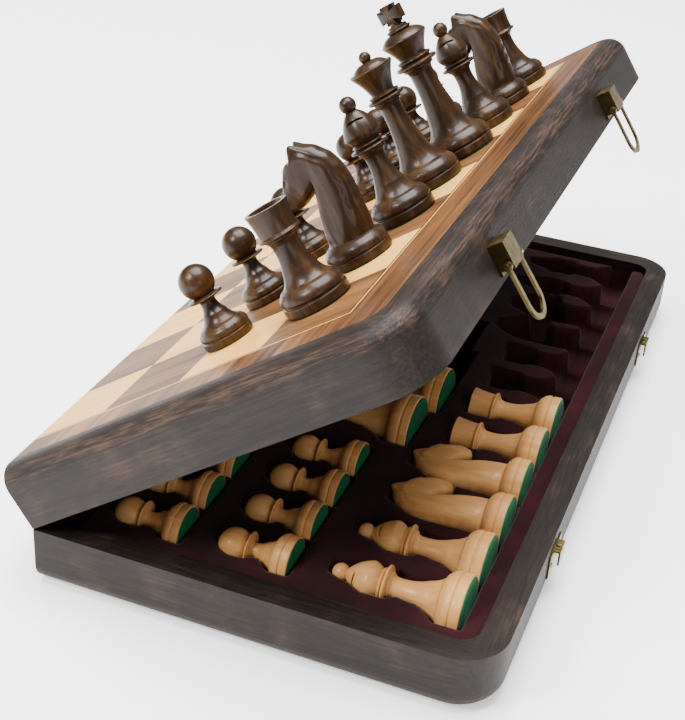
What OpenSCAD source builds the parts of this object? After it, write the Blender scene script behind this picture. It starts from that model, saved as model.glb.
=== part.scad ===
// Folding chess box: a tray and a lid, each half of the board, hinged along the back seam.
// The tray holds a flocked insert with the light men lying in it; the lid stands part open and the
// dark men stand on its half of the board. Two sprung-loop latches on the lid catch on the tray.
// Length runs along X, depth along Y (latches at -Y, hinges at +Y), Z is up. Origin: centre of the
// tray's underside. All sizes in millimetres.

/* [Board] */
// Side of one square
square = 40.5; // [25:0.5:60]
// Border outside the squares on the two short ends, frame included
border_end = 28.5; // [20:0.5:45]
// Border outside the squares on the latch side, frame included
border_front = 32; // [20:0.5:45]
// Thickness of the veneer squares and border strips
veneer = 1.2; // [0.6:0.1:2]
// Thickness of the ply board under the veneer
ply = 2.8; // [2:0.1:5]
// Width of the inlaid line round the squares
string_w = 1.6; // [0.8:0.1:3]

/* [Case] */
// Height of the tray, and of the lid
case_h = 27; // [22:0.5:40]
// Thickness of the frame rails
rail_t = 11.5; // [8:0.5:16]
// Radius of the rounded long outer edges
edge_r = 9; // [3:0.5:10]
// Radius of the two rounded front corners in plan
corner_r = 20; // [12:1:30]
// Angle of the lid in the resting pose
lid_angle = 35; // [0:1:90]
// Half of the gap between the two rims when shut
seam = 0.1; // [0.05:0.05:0.3]

/* [Insert] */
// Drop of the flocked insert below the tray's rim
insert_drop = 4; // [2:0.5:8]
// Gap between the insert and the rails
insert_gap = 1; // [0.5:0.5:3]
// Radius of the insert's corners
insert_corner = 6; // [2:1:12]
// Height of the lying men's axis above the tray's underside
lie_z = 21.1; // [18:0.1:24]
// Clearance round a lying man in its recess
recess_gap = 0.3; // [0.2:0.1:1.2]
// Clearance under a lying man
seat_gap = 0.25; // [0.1:0.05:0.5]
// Thickness of the pad inside the lid
pad_t = 3; // [1:0.5:5]
// Distance from the near end of the case to the first officer of the front row
officer_in = 36; // [32:0.5:38]
// Pitch of the six officers lying in the front row
officer_pitch = 29.3; // [28.8:0.1:29.4]
// Pitch of the six empty recesses in the front row
spare_officer_pitch = 28.5; // [28.4:0.1:28.8]
// Distance from the front face to the felts of the front row
front_row = 21; // [16:0.5:30]
// Distance from the near end of the case to the lying king
royal_in = 148.5; // [144:0.5:152]
// Pitch of the two kings' and the two queens' recesses between them
royal_pitch = 33; // [32:0.5:34]
// Distance from the front face to the kings' felts
king_row = 80; // [74:1:90]
// Distance from the front face to the queens' felts
queen_row = 76; // [70:1:90]
// Distance from either end of the case to the first pawn
pawn_in = 33.5; // [28:0.5:36]
// Pitch of the lying pawns in a row
pawn_pitch = 25.5; // [24:0.5:26]
// Pitch of the empty pawn recesses in a row
spare_pitch = 24.5; // [24:0.5:26]
// Distance from the front face to the felts of the first pawn row
pawn_row_1 = 93; // [88:1:100]
// Distance from the front face to the felts of the second pawn row
pawn_row_2 = 141; // [132:1:145]

/* [Men] */
// Height of the king
king_h = 78; // [60:1:95]
// Base radius of the king
king_r = 16.5; // [12:0.1:16.6]
// Height of the queen
queen_h = 67; // [50:1:80]
// Base radius of the queen
queen_r = 15.6; // [12:0.1:15.8]
// Height of a bishop
bishop_h = 57; // [40:1:70]
// Base radius of a bishop
bishop_r = 13.8; // [10:0.1:14]
// Height of a knight
knight_h = 53; // [40:1:65]
// Base radius of a knight
knight_r = 13.8; // [10:0.1:14]
// Height of a rook
rook_h = 42; // [32:1:55]
// Base radius of a rook
rook_r = 13.7; // [10:0.1:14]
// Height of a pawn
pawn_h = 34; // [26:1:45]
// Base radius of a pawn
pawn_r = 10.7; // [9:0.1:11.5]
// Thickness of the felt under each man
felt_t = 0.8; // [0.4:0.1:1.5]
// Setback of the felt's edge from the foot's edge
felt_in = 0.8; // [0.3:0.1:1.5]
// Width of a bishop's slot
slot_w = 0.9; // [0.5:0.1:1.5]
// Shift of each standing officer along the lid, from the middle of its square
officer_along = [9, 10, 12, 14, 14, 15, 14, 10]; // [0:0.5:16]
// Shift of each standing officer towards the hinges, from the middle of its square
officer_back = [6.5, 4, -1, 2, -1, -2, 0, 0]; // [-3:0.5:12]
// Shift of each standing pawn along the lid, from the middle of its square
pawn_along = [10, 10, 14, 12, 10, 8, 8, 6]; // [0:0.5:16]
// Shift of each standing pawn towards the hinges, from the middle of its square
pawn_back = [11.5, 12, 9, 8, 8, 8, 8, 8]; // [0:0.5:14]

/* [Hinges] */
// Length of a hinge
hinge_l = 32; // [20:1:50]
// Distance of a hinge's middle from the end of the case
hinge_in = 52; // [35:1:90]
// Width of a hinge leaf
leaf_w = 9; // [6:0.5:11]
// Thickness of a hinge leaf
leaf_t = 1; // [0.6:0.1:1.5]
// Outside radius of the knuckles
knuckle_r = 2.6; // [2:0.1:4]
// Radius of the hinge pin
pin_r = 1.2; // [0.8:0.1:2]
// Radial play of each pin in its bore
pin_play = 0.05; // [0.02:0.01:0.1]
// Clearance round a hinge in the back rails
notch_gap = 0.3; // [0.2:0.1:0.6]

/* [Latches] */
// Distance of a latch's middle from the end of the case
latch_in = 92; // [60:1:140]
// Width of the latch bracket
latch_w = 12; // [9:0.5:18]
// Height of the latch bracket's plate
latch_h = 13; // [10:0.5:16]
// Height of the bracket's lower edge above the rim
latch_up = 2; // [1:0.5:4]
// Thickness of the brass sheet
sheet = 0.8; // [0.5:0.1:1.2]
// Length of the hood's front flap
flap_h = 11.5; // [8:0.5:13]
// Space from the latch pin's axis to the face of the hood
hood_out = 2; // [1.6:0.1:3]
// Height of the latch pin above the rim
latch_pin_up = 5.5; // [4:0.5:9]
// Distance of the latch pin from the front face
latch_pin_out = 4.9; // [4.6:0.1:7]
// Radius of the latch pin
latch_pin_r = 0.9; // [0.6:0.1:1.4]
// Side gap between the bracket and the loop
ear_gap = 0.25; // [0.1:0.05:0.5]
// Length of the loop below its pin
loop_l = 26; // [20:0.5:34]
// Width of the loop's strip
loop_strip = 2.2; // [1.6:0.1:3]
// Thickness of the loop's strip
loop_t = 1.2; // [0.8:0.1:1.6]
// Width of the catch
catch_w = 20; // [14:0.5:26]
// Height of the catch's plate
catch_h = 11; // [8:0.5:14]
// Drop of the catch's upper edge below the rim
catch_down = 6; // [4:0.5:8]
// Width of the catch's folded lip
lip_w = 9; // [6:0.5:10]
// Height of the lip's front fold
lip_h = 7; // [4:0.5:9]
// How far the catch stands out from the front face
catch_out = 3.6; // [2.5:0.1:4]

/* [Hidden] */
$fa = 4;
$fs = 0.4;

half_l = 4 * square + border_end;
half_d = (4 * square + border_front) / 2;
board_t = veneer + ply;
side = [-1, 1];
dark_wood = [0.29, 0.20, 0.13];
frame_wood = [0.20, 0.17, 0.15];
walnut = [0.50, 0.31, 0.19];
maple = [0.91, 0.77, 0.55];
boxwood = [0.85, 0.62, 0.40];
flock = [0.24, 0.07, 0.09];
brass = [0.55, 0.50, 0.32];
first_officer_x = -half_l + officer_in;
first_pawn_x = -half_l + pawn_in;
first_king_x = -half_l + royal_in;
knuckles = 5;
knuckle_l = hinge_l / knuckles;
latch_pin_z = case_h + latch_pin_up;

// Placing.
// Puts a lid piece, drawn shut, at the lid's resting angle about the hinge pins.
module on_lid() {
  translate([0, half_d, case_h])
    rotate([-lid_angle, 0, 0])
      translate([0, -half_d, -case_h])
        children();
}

// Turns a tray piece over to lie as the lid's shut counterpart.
module flipped() {
  translate([0, 0, 2 * case_h])
    mirror([0, 0, 1])
      children();
}

// Case.
// Cross-section of a rail from its outer face inwards, outer lower edge rounded.
module rail_section(low = 0) {
  steps = 8;
  arc = [for (k = [0:steps]) let(a = 90 * k / steps) [edge_r * (1 - cos(a)), edge_r * (1 - sin(a))]];
  polygon(concat([[rail_t, case_h - seam], [0, case_h - seam]], arc, [[rail_t, 0]]));
}

// A rounded front corner of the frame, one half of the mitre: turned about the corner's centre.
module corner_half(from) {
  rotate([0, 0, from])
    rotate_extrude(angle = 45)
      translate([corner_r, 0])
        mirror([1, 0])
          rail_section();
}

module front_rail() {
  run = half_l - corner_r;
  translate([-run, -half_d, 0])
    rotate([90, 0, 90])
      linear_extrude(2 * run)
        rail_section();
  for (flip = [0, 1])
    mirror([flip, 0, 0])
      translate([run, -half_d + corner_r, 0])
        corner_half(270);
}

module end_rail() {
  from = -half_d + corner_r;
  to = half_d - seam;
  translate([-half_l, to, 0])
    rotate([90, 0, 0])
      linear_extrude(to - from)
        rail_section();
  translate([-half_l + corner_r, from, 0])
    corner_half(180);
}

module far_end_rail() {
  mirror([1, 0, 0])
    end_rail();
}

module back_rail() {
  difference() {
    translate([-half_l + rail_t, half_d - seam - rail_t, board_t])
      cube([2 * (half_l - rail_t), rail_t, case_h - seam - board_t]);
    for (s = side)
      hinge_notch(s);
  }
}

// Room in a back rail for one hinge: a round groove for the knuckles, a mortise for the leaf.
module hinge_notch(s) {
  long = hinge_l + 2 * notch_gap;
  translate([s * (half_l - hinge_in) - long / 2, half_d, case_h])
    rotate([0, 90, 0])
      cylinder(r = knuckle_r + notch_gap, h = long);
  translate([s * (half_l - hinge_in) - long / 2, half_d - leaf_w - notch_gap, case_h - leaf_t - 2 * seam])
    cube([long, leaf_w + notch_gap, leaf_t + 1]);
}

// Plan of the board inside the frame.
module board_plan(inset = 0) {
  r = corner_r - rail_t;
  x = half_l - rail_t - inset;
  translate([-x, -half_d + rail_t + inset])
    offset(r)
      offset(delta = -r)
        square([2 * x, 2 * half_d]);
}

module trimmed_plan(inset = 0) {
  intersection() {
    board_plan(inset);
    translate([-half_l, -half_d])
      square([2 * half_l, 2 * half_d - seam]);
  }
}

module board() {
  translate([0, 0, veneer])
    linear_extrude(ply)
      trimmed_plan();
}

// Squares of one colour, each its own tile. File 0 beside the latches is dark.
module squares(dark) {
  joint = 0.05;
  for (i = [0:7], j = [0:3])
    if ((i + j) % 2 == (dark ? 1 : 0))
      translate([(i - 4) * square, half_d - (j + 1) * square + joint, 0])
        cube([square, square - joint - max(joint, j == 0 ? seam : 0), veneer]);
}

// Plan of the field of squares with a margin round three sides.
module field(margin) {
  translate([-4 * square - margin, half_d - 4 * square - margin])
    square([8 * square + 2 * margin, 4 * square + margin + 5]);
}

module border(margin) {
  linear_extrude(veneer)
    difference() {
      trimmed_plan();
      field(margin);
    }
}

module stringing() {
  linear_extrude(veneer)
    intersection() {
      difference() {
        field(string_w);
        field(0);
      }
      trimmed_plan();
    }
}

module tray_front_rail() {
  color(frame_wood) front_rail();
}

module tray_near_rail() {
  color(frame_wood) end_rail();
}

module tray_far_rail() {
  color(frame_wood) far_end_rail();
}

module tray_back_rail() {
  color(frame_wood) back_rail();
}

module tray_board() {
  color(maple) board();
}

module tray_light_squares() {
  color(maple) squares(dark = false);
}

module tray_dark_squares() {
  color(walnut) squares(dark = true);
}

module tray_border() {
  color(walnut) border(0);
}

module lid_front_rail() {
  color(frame_wood) on_lid() flipped() front_rail();
}

module lid_near_rail() {
  color(frame_wood) on_lid() flipped() end_rail();
}

module lid_far_rail() {
  color(frame_wood) on_lid() flipped() far_end_rail();
}

module lid_back_rail() {
  color(frame_wood) on_lid() flipped() back_rail();
}

module lid_board() {
  color(maple) on_lid() flipped() board();
}

module lid_light_squares() {
  color(maple) on_lid() flipped() squares(dark = false);
}

module lid_dark_squares() {
  color(walnut) on_lid() flipped() squares(dark = true);
}

module lid_border() {
  color(walnut) on_lid() flipped() border(string_w);
}

module lid_stringing() {
  color(dark_wood) on_lid() flipped() stringing();
}

// Turned men.
// A profile is a list of [radius, height, bulge]: bulge is how far the stretch to the next station
// swells out (or, negative, hollows in) at its middle.
function swell(p, q, n) = [for (k = [0:n - 1]) let(
  t = k / n,
  d = [q[0] - p[0], q[1] - p[1]],
  u = norm(d) > 0 ? [d[1], -d[0]] / norm(d) : [0, 0],
  s = p[2] * 4 * t * (1 - t)
) [p[0] + d[0] * t + u[0] * s, p[1] + d[1] * t + u[1] * s]];

function outline(stations, steps = 6) = concat(
  [for (i = [0:len(stations) - 2])
    each swell(stations[i], stations[i + 1], stations[i][2] == 0 ? 1 : steps)],
  [[stations[len(stations) - 1][0], stations[len(stations) - 1][1]]]
);

// Felt, weighted foot with its groove, and the swelling above it: common to every man.
function foot(r, h) = [
  [0, 0, 0], [r - felt_in, 0, 0], [r - felt_in, felt_t, 0],
  [r, felt_t, 0], [r, 0.4 * h, 0], [0.95 * r, 0.43 * h, 0], [0.95 * r, 0.48 * h, 0],
  [r, 0.5 * h, 0.5], [0.88 * r, 0.88 * h, 0.2], [0.76 * r, h, 0]
];

// Stations given in base radii and heights of the man.
function scaled(stations, r, h) = [for (s = stations) [s[0] * r, s[1] * h, s[2]]];

// Ball of radius b whose top is at h, from an angle below its equator upwards.
function ball(b, h, from) = [for (k = [0:8]) let(a = from + (90 - from) * k / 8)
  [b * cos(a), h - b + b * sin(a), 0]];

function king_profile() = concat(foot(king_r, 0.15 * king_h), scaled([
  [0.70, 0.157, -0.4], [0.52, 0.235, -0.9], [0.35, 0.56, 0], [0.38, 0.582, 0], [0.44, 0.587, 0.2],
  [0.45, 0.602, 0], [0.60, 0.608, 0.3], [0.60, 0.628, 0], [0.44, 0.635, 0], [0.50, 0.643, 0.25],
  [0.50, 0.658, 0], [0.40, 0.665, -0.4], [0.68, 0.775, 0.2], [0.66, 0.79, 0.6], [0.31, 0.832, 0],
  [0.35, 0.836, 0.3], [0.35, 0.85, 0], [0.27, 0.854, 0.25], [0.27, 0.868, 0], [0.18, 0.872, 0],
  [0.18, 0.89, 0], [0, 0.89, 0]
], king_r, king_h));

function queen_profile() = concat(foot(queen_r, 0.165 * queen_h), scaled([
  [0.70, 0.172, -0.4], [0.51, 0.26, -0.9], [0.32, 0.61, 0], [0.36, 0.63, 0], [0.41, 0.635, 0.2],
  [0.42, 0.65, 0], [0.54, 0.655, 0.3], [0.54, 0.675, 0], [0.40, 0.68, 0], [0.46, 0.688, 0.25],
  [0.46, 0.70, 0], [0.35, 0.705, -0.6], [0.66, 0.872, 0.2], [0.64, 0.888, 0], [0.54, 0.886, 0.9],
  [0.13, 0.93, 0]
], queen_r, queen_h), ball(0.18 * queen_r, queen_h, -45));

function bishop_profile() = concat(foot(bishop_r, 0.19 * bishop_h), scaled([
  [0.70, 0.198, -0.4], [0.49, 0.30, -0.9], [0.33, 0.53, 0], [0.37, 0.553, 0], [0.43, 0.558, 0.2],
  [0.43, 0.573, 0], [0.60, 0.582, 0.3], [0.60, 0.604, 0], [0.43, 0.61, 0], [0.49, 0.618, 0.25],
  [0.49, 0.634, 0], [0.40, 0.64, 0.7], [0.59, 0.73, 1.2], [0.16, 0.892, 0]
], bishop_r, bishop_h), ball(0.27 * bishop_r, bishop_h, -52));

function rook_profile() = concat(foot(rook_r, 0.25 * rook_h), scaled([
  [0.70, 0.26, -0.4], [0.52, 0.38, -0.7], [0.41, 0.65, 0], [0.45, 0.69, 0], [0.50, 0.695, 0.2],
  [0.50, 0.712, 0], [0.63, 0.72, 0.4], [0.63, 0.75, 0], [0.58, 0.76, -0.3], [0.66, 1, 0],
  [0.52, 1, 0], [0.47, 0.91, 0], [0, 0.89, 0]
], rook_r, rook_h));

function pawn_profile() = concat(foot(pawn_r, 0.25 * pawn_h), scaled([
  [0.70, 0.26, -0.4], [0.47, 0.38, -0.6], [0.31, 0.545, 0], [0.36, 0.56, 0], [0.68, 0.575, 0.3],
  [0.68, 0.6, 0], [0.36, 0.622, 0]
], pawn_r, pawn_h), ball(0.215 * pawn_h, pawn_h, -56));

module turned(stations) {
  rotate_extrude($fn = 48)
    polygon(concat(outline(stations), [[0, 0]]));
}

module king() {
  turned(king_profile());
  cross_h = 0.12 * king_h;
  arm = 0.33 * cross_h;
  waist = 0.16 * cross_h;
  span = 0.66 * cross_h;
  translate([0, 0, king_h - cross_h / 2])
    rotate([90, 0, 0])
      linear_extrude(0.26 * king_r, center = true) {
        polygon([
          [-arm, cross_h / 2], [-waist, 0], [-arm, -cross_h / 2],
          [arm, -cross_h / 2], [waist, 0], [arm, cross_h / 2]
        ]);
        polygon([
          [-span, arm], [-span, -arm], [0, -waist], [span, -arm], [span, arm], [0, waist]
        ]);
      }
}

module queen() {
  turned(queen_profile());
}

module bishop() {
  difference() {
    turned(bishop_profile());
    translate([0, 0, 0.8 * bishop_h])
      rotate([0, 38, 0])
        translate([0, -bishop_r, 0])
          cube([bishop_r, 2 * bishop_r, slot_w]);
  }
}

module rook() {
  turned(rook_profile());
}

module pawn() {
  turned(pawn_profile());
}

// The knight's head is lofted: rings follow a spine from the foot up the neck, over the poll and down
// to the muzzle. Each station is [forward, up, half depth, half width, tilt], in knight heights.
knight_spine = [
  [-0.005, 0.19, 0.192, 0.185, 0], [-0.036, 0.336, 0.176, 0.160, 0], [-0.060, 0.472, 0.152, 0.140, 0],
  [-0.080, 0.594, 0.132, 0.125, 4], [-0.076, 0.713, 0.124, 0.115, 29], [-0.038, 0.785, 0.142, 0.110, 60],
  [0.030, 0.825, 0.165, 0.105, 96], [0.130, 0.777, 0.126, 0.105, 106], [0.195, 0.721, 0.102, 0.095, 117],
  [0.240, 0.672, 0.081, 0.080, 129], [0.270, 0.621, 0.062, 0.070, 142], [0.285, 0.580, 0.036, 0.045, 150]
];
ring_n = 16;

function knight_ring(s) = [for (k = [0:ring_n - 1]) let(
  a = 360 * k / ring_n,
  d = s[2] * cos(a),
  w = s[3] * sin(a)
) knight_h * [s[0] + d * cos(s[4]), w, s[1] - d * sin(s[4])]];

function between(list, t) = let(
  n = len(list) - 1,
  i = min(floor(t), n - 1),
  f = t - i,
  a = list[max(i - 1, 0)], b = list[i], c = list[i + 1], d = list[min(i + 2, n)]
) 0.5 * (2 * b + f * (c - a) + f * f * (2 * a - 5 * b + 4 * c - d) + f * f * f * (3 * b - a - 3 * c + d));

module knight_head() {
  step = 0.5;
  n = (len(knight_spine) - 1) / step;
  points = [for (i = [0:n]) each knight_ring(between(knight_spine, i * step))];
  polyhedron(
    points = points,
    faces = concat(
      [[for (k = [0:ring_n - 1]) k]],
      [for (i = [0:n - 1], k = [0:ring_n - 1]) let(a = i * ring_n + k, b = i * ring_n + (k + 1) % ring_n)
        [b, a, a + ring_n, b + ring_n]],
      [[for (k = [ring_n - 1:-1:0]) n * ring_n + k]]
    ),
    convexity = 6
  );
}

module knight() {
  neck = [[0.68 * knight_r, 0.21 * knight_h, 0], [0, 0.21 * knight_h, 0]];
  turned(concat(foot(knight_r, 0.19 * knight_h), neck));
  knight_head();
  for (s = side)
    translate(knight_h * [0.015, s * 0.048, 0.91])
      rotate([-s * 8, -6, 0])
        cylinder(r1 = 0.045 * knight_h, r2 = 0.012 * knight_h, h = 0.085 * knight_h, $fn = 24);
}

// Dark men, standing on the lid.
// Where a man stands: file 0 to 7 from the near end, rank 0 to 3 from the hinges, and how far along and
// back it stands off the middle of its square.
module standing(file, rank, along, back) {
  on_lid()
    translate([(file - 3.5) * square + along, half_d - (rank + 0.5) * square + back, 2 * case_h])
      children();
}

module officer(file) {
  color(dark_wood) standing(file, 3, officer_along[file], officer_back[file]) children();
}

module dark_rook_near() {
  officer(0) rook();
}

module dark_knight_near() {
  officer(1) rotate(90) knight();
}

module dark_bishop_near() {
  officer(2) rotate(-120) bishop();
}

module dark_queen() {
  officer(3) queen();
}

module dark_king() {
  officer(4) rotate(75) king();
}

module dark_bishop_far() {
  officer(5) rotate(-120) bishop();
}

module dark_knight_far() {
  officer(6) rotate(90) knight();
}

module dark_rook_far() {
  officer(7) rook();
}

module dark_pawn(n) {
  color(dark_wood) standing(n - 1, 2, pawn_along[n - 1], pawn_back[n - 1]) pawn();
}

// Light men, lying in the insert.
// Lays a man down, felt towards the latches, at a place along the row and a distance from the front.
module lying(x, from_front) {
  translate([x, -half_d + from_front, lie_z])
    rotate([-90, 0, 0])
      children();
}

function officer_x(n) = first_officer_x + officer_pitch * min(n, 5) + spare_officer_pitch * max(n - 5, 0);
function royal_x(n) = first_king_x + royal_pitch * n;
function pawn_x(n) = first_pawn_x + pawn_pitch * n;
function spare_x(n) = -first_pawn_x - spare_pitch * n;

module light_bishop(n) {
  color(boxwood) lying(officer_x(n - 1), front_row) rotate(200) bishop();
}

module light_knight(n) {
  color(boxwood) lying(officer_x(n + 1), front_row) knight();
}

module light_rook(n) {
  color(boxwood) lying(officer_x(n + 3), front_row) rook();
}

module light_king() {
  color(boxwood) lying(royal_x(0), king_row) king();
}

module light_queen() {
  color(boxwood) lying(royal_x(1), queen_row) queen();
}

module light_pawn(n) {
  row = n > 4 ? pawn_row_2 : pawn_row_1;
  color(boxwood) lying(pawn_x((n - 1) % 4), row) pawn();
}

// Insert.
// Outline of a turned man's recess: foot, waist, collar and head, each with the gap round it.
module recess_plan(r, h, waist, collar, head_r, head_at, tip) {
  g = recess_gap;
  half = [
    [r + g, -g], [r + g, 0.2 * h], [0.78 * r + g, 0.27 * h], [waist * r + g, 0.42 * h],
    [waist * r + g, 0.5 * h], [collar * r + g, 0.56 * h], [head_r * r + g, head_at * h],
    [tip * r + g, h - 0.12 * r], [tip * r, h + g]
  ];
  polygon(concat(half, [for (k = [len(half) - 1:-1:0]) [-half[k][0], half[k][1]]]));
}

// Outline of a knight's recess: the foot, the neck's back and the muzzle.
module knight_plan() {
  g = recess_gap;
  translate([-knight_r - g, -g])
    square([2 * (knight_r + g), 0.2 * knight_h + 2 * g]);
  polygon([
    [-0.215 * knight_h - g, 0.1 * knight_h], [-0.215 * knight_h - g, 0.74 * knight_h],
    [-0.16 * knight_h - g, 0.9 * knight_h], [-0.05 * knight_h - g, knight_h + g],
    [0.07 * knight_h + g, knight_h + g], [0.22 * knight_h + g, 0.86 * knight_h],
    [0.325 * knight_h + g, 0.68 * knight_h], [0.325 * knight_h + g, 0.54 * knight_h],
    [0.2 * knight_h + g, 0.52 * knight_h], [0.2 * knight_h + g, 0.1 * knight_h]
  ]);
}

// A recess sunk so that a man of base radius r lies with its axis at the right height.
module recess(x, from_front, r) {
  floor_z = max(board_t + 0.3, lie_z - r - seat_gap);
  translate([x, -half_d + from_front, floor_z])
    linear_extrude(case_h)
      children();
}

module officer_recesses() {
  for (n = [0, 1, 10, 11])
    recess(officer_x(n), front_row, bishop_r)
      recess_plan(bishop_r, bishop_h, 0.44, 0.63, 0.66, 0.76, 0.36);
  for (n = [2, 3, 8, 9])
    recess(officer_x(n), front_row, knight_r)
      knight_plan();
  for (n = [4, 5, 6, 7])
    recess(officer_x(n), front_row, rook_r)
      recess_plan(rook_r, rook_h, 0.52, 0.66, 0.7, 0.9, 0.7);
}

module royal_recesses() {
  for (n = [0, 3])
    recess(royal_x(n), king_row, king_r)
      recess_plan(king_r, king_h, 0.46, 0.64, 0.72, 0.8, 0.42);
  for (n = [1, 2])
    recess(royal_x(n), queen_row, queen_r)
      recess_plan(queen_r, queen_h, 0.44, 0.6, 0.7, 0.89, 0.3);
}

module pawn_recesses() {
  for (n = [0:3], row = [pawn_row_1, pawn_row_2], x = [pawn_x(n), spare_x(n)])
    recess(x, row, pawn_r)
      recess_plan(pawn_r, pawn_h, 0.46, 0.72, 0.78, 0.78, 0.5);
}

// Plan of the insert and of the lid's pad, clear of the rails.
module lining_plan() {
  translate([-half_l + rail_t + insert_gap, -half_d + rail_t + insert_gap])
    offset(insert_corner)
      offset(-insert_corner)
        square([2 * (half_l - rail_t - insert_gap), 2 * (half_d - rail_t - insert_gap) - seam]);
}

module insert() {
  color(flock)
    difference() {
      translate([0, 0, board_t])
        linear_extrude(case_h - insert_drop - board_t)
          lining_plan();
      officer_recesses();
      royal_recesses();
      pawn_recesses();
    }
}

module lid_pad() {
  color(flock)
    on_lid()
      flipped()
        translate([0, 0, board_t])
          linear_extrude(pad_t)
            lining_plan();
}

// Hinges.
// One leaf of a hinge with its own knuckles, odd or even, bored for the pin.
module leaf(s, odd) {
  play = 0.1;
  translate([s * (half_l - hinge_in) - hinge_l / 2, half_d, case_h])
    difference() {
      union() {
        translate([0, -leaf_w, -leaf_t - seam])
          cube([hinge_l, leaf_w - knuckle_r - 0.2, leaf_t]);
        for (k = [odd:2:knuckles - 1])
          translate([k * knuckle_l + play, 0, 0]) {
            rotate([0, 90, 0])
              cylinder(r = knuckle_r, h = knuckle_l - 2 * play);
            translate([0, -knuckle_r - 0.4, -leaf_t - seam])
              cube([knuckle_l - 2 * play, knuckle_r + 0.4, leaf_t]);
          }
      }
      translate([-1, 0, 0])
        rotate([0, 90, 0])
          cylinder(r = pin_r + pin_play, h = hinge_l + 2);
    }
}

module tray_hinge_leaves() {
  color(brass)
    for (s = side)
      leaf(s, 0);
}

module lid_hinge_leaves() {
  color(brass)
    on_lid()
      flipped()
        for (s = side)
          leaf(s, 1);
}

module hinge_pins() {
  color(brass)
    for (s = side)
      translate([s * (half_l - hinge_in) - hinge_l / 2, half_d, case_h])
        rotate([0, 90, 0])
          cylinder(r = pin_r, h = hinge_l);
}

// Latches.
// Bracket: a plate on the lid's front, two ears that carry the pin, and a hood folded over it.
module latch_bracket() {
  low = case_h + latch_up;
  face = latch_pin_out + hood_out;
  head_t = 0.6;
  pin_end = latch_w / 2 + loop_strip + 2 * ear_gap + head_t;
  translate([-latch_w / 2, -half_d - sheet, low])
    cube([latch_w, sheet, latch_h]);
  translate([-latch_w / 2, -half_d - face, low + latch_h - sheet])
    cube([latch_w, face, sheet]);
  translate([-latch_w / 2, -half_d - face, low + latch_h - flap_h])
    cube([latch_w, sheet, flap_h]);
  for (s = side)
    translate([s * (latch_w - sheet) / 2 - sheet / 2, -half_d - face, latch_pin_z - latch_pin_r - sheet])
      cube([sheet, face, low + latch_h - latch_pin_z + latch_pin_r + sheet]);
  translate([-pin_end, -half_d - latch_pin_out, latch_pin_z])
    rotate([0, 90, 0])
      cylinder(r = latch_pin_r, h = 2 * pin_end);
  for (s = side)
    translate([s * (pin_end - head_t / 2) - head_t / 2, -half_d - latch_pin_out, latch_pin_z])
      rotate([0, 90, 0])
        cylinder(r = latch_pin_r + head_t, h = head_t);
}

module latch_brackets() {
  color(brass)
    on_lid()
      for (s = side)
        translate([s * (half_l - latch_in), 0, 0])
          latch_bracket();
}

// Sprung loop: a flat strip bent to a long U with an eye at each end on the pin.
module latch_loop() {
  inner = latch_w / 2 + ear_gap;
  outer = inner + loop_strip;
  translate([0, -half_d - latch_pin_out, latch_pin_z]) {
    translate([0, loop_t / 2, 0])
      rotate([90, 0, 0])
        linear_extrude(loop_t)
          difference() {
            loop_outline(outer, 0);
            loop_outline(inner, loop_strip);
            translate([-inner, -3])
              square([2 * inner, 6]);
            square([2 * outer + 1, 2 * (latch_pin_r + pin_play)], center = true);
          }
    for (s = side)
      translate([s * (inner + loop_strip / 2), 0, 0])
        rotate([0, 90, 0])
          difference() {
            cylinder(r = latch_pin_r + 0.9, h = loop_strip, center = true);
            cylinder(r = latch_pin_r + pin_play, h = loop_strip + 1, center = true);
          }
  }
}

module loop_outline(half, inset) {
  translate([-half, -loop_l + inset + half])
    square([2 * half, loop_l - inset - half]);
  translate([0, -loop_l + inset + half])
    circle(half);
}

module near_latch_loop() {
  color(brass)
    on_lid()
      translate([-half_l + latch_in, 0, 0])
        latch_loop();
}

module far_latch_loop() {
  color(brass)
    on_lid()
      translate([half_l - latch_in, 0, 0])
        latch_loop();
}

// Catch: a plate on the tray's front with a folded lip that the loop hooks under, and a rivet.
module catch_plate() {
  top = case_h - catch_down;
  translate([-catch_w / 2, -half_d - sheet, top - catch_h])
    cube([catch_w, sheet, catch_h]);
  translate([-lip_w / 2, -half_d - catch_out, top - sheet])
    cube([lip_w, catch_out, sheet]);
  translate([-lip_w / 2, -half_d - catch_out, top - lip_h])
    cube([lip_w, sheet, lip_h]);
  translate([0, -half_d - catch_out / 2, top - 0.1])
    cylinder(r1 = 1.4, r2 = 0.8, h = 0.7);
  for (s = side)
    translate([s * (catch_w + lip_w) / 4, -half_d - sheet + 0.1, top - catch_h / 2])
      rotate([90, 0, 0])
        cylinder(r1 = 1.5, r2 = 0.9, h = 0.6);
}

module catches() {
  color(brass)
    for (s = side)
      translate([s * (half_l - latch_in), 0, 0])
        catch_plate();
}

// All pieces.
tray_front_rail();
tray_back_rail();
tray_near_rail();
tray_far_rail();
tray_board();
tray_light_squares();
tray_dark_squares();
tray_border();
insert();
lid_front_rail();
lid_back_rail();
lid_near_rail();
lid_far_rail();
lid_board();
lid_light_squares();
lid_dark_squares();
lid_border();
lid_stringing();
lid_pad();
tray_hinge_leaves();
lid_hinge_leaves();
hinge_pins();
latch_brackets();
near_latch_loop();
far_latch_loop();
catches();
dark_rook_near();
dark_knight_near();
dark_bishop_near();
dark_queen();
dark_king();
dark_bishop_far();
dark_knight_far();
dark_rook_far();
dark_pawn(1);  // dark_pawn_1
dark_pawn(2);  // dark_pawn_2
dark_pawn(3);  // dark_pawn_3
dark_pawn(4);  // dark_pawn_4
dark_pawn(5);  // dark_pawn_5
dark_pawn(6);  // dark_pawn_6
dark_pawn(7);  // dark_pawn_7
dark_pawn(8);  // dark_pawn_8
light_bishop(1);  // light_bishop_1
light_bishop(2);  // light_bishop_2
light_knight(1);  // light_knight_1
light_knight(2);  // light_knight_2
light_rook(1);  // light_rook_1
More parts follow.
